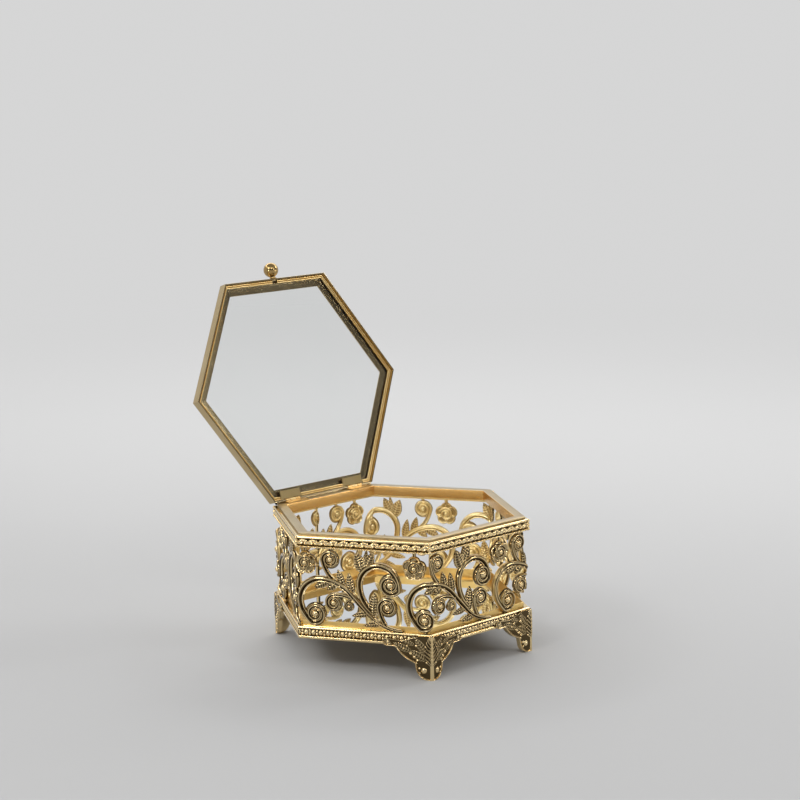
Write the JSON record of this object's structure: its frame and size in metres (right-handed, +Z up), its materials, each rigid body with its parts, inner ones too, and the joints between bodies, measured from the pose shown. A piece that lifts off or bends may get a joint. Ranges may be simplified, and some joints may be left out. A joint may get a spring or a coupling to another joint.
{
  "type": "glass storage box",
  "caption": "Six-sided openwork metal trinket box on corner feet, with a mirror floor and a hinged glass lid that opens past upright.",
  "frame": {"origin": "on the surface that the feet stand on, under the middle of the box's outline with its lid open", "axes": "+Z up; -Y towards the knob side, in front of the closed box; +Y towards the hinges; the walls' corners lie at +X and -X"},
  "size_m": [0.1308, 0.1544, 0.1805],
  "materials": {
    "bright_gold": "polished gold plate",
    "satin_gold": "satin gold plate",
    "pin_metal": "gold-plated steel pin",
    "clear_glass": "clear polished glass",
    "mirror_glass": "silvered mirror"
  },
  "bodies": {
    "box": {"top_rail_back_left": "bright_gold", "bottom_rail_back_left": "bright_gold", "rim_strip_back_left": "satin_gold", "base_strip_back_left": "satin_gold", "openwork_back_left": "bright_gold", "top_rail_front_left": "bright_gold", "bottom_rail_front_left": "bright_gold", "rim_strip_front_left": "satin_gold", "base_strip_front_left": "satin_gold", "openwork_front_left": "bright_gold", "top_rail_front": "bright_gold", "bottom_rail_front": "bright_gold", "rim_strip_front": "satin_gold", "base_strip_front": "satin_gold", "openwork_front": "bright_gold", "top_rail_front_right": "bright_gold", "bottom_rail_front_right": "bright_gold", "rim_strip_front_right": "satin_gold", "base_strip_front_right": "satin_gold", "openwork_front_right": "bright_gold", "top_rail_back_right": "bright_gold", "bottom_rail_back_right": "bright_gold", "rim_strip_back_right": "satin_gold", "base_strip_back_right": "satin_gold", "openwork_back_right": "bright_gold", "top_rail_back": "bright_gold", "bottom_rail_back": "bright_gold", "rim_strip_back": "satin_gold", "base_strip_back": "satin_gold", "openwork_back": "bright_gold", "base_plate": "satin_gold", "mirror_plate": "mirror_glass", "corner_beads": "bright_gold", "foot_back_left": "bright_gold", "foot_front_left": "bright_gold", "foot_front_right": "bright_gold", "foot_back_right": "bright_gold", "hinge_leaf_box_left": "bright_gold", "hinge_pin_left": "pin_metal", "hinge_leaf_box_right": "bright_gold", "hinge_pin_right": "pin_metal"},
    "lid": {"lid_strip_back_left": "bright_gold", "lid_strip_front_left": "bright_gold", "lid_strip_front": "bright_gold", "lid_strip_front_right": "bright_gold", "lid_strip_back_right": "bright_gold", "lid_strip_back": "bright_gold", "lid_glass": "clear_glass", "glass_bead": "bright_gold", "knob": "bright_gold", "knob_rivet": "bright_gold", "hinge_leaf_lid_left": "bright_gold", "hinge_leaf_lid_right": "bright_gold"}
  },
  "joints": [
    {"name": "lid_hinge", "type": "hinge", "parent": "box", "child": "lid", "pos_m": [0, 0.03644, 0.0661], "axis": [-1, 0, 0], "range_deg": [-107.8, 0]}
  ]
}
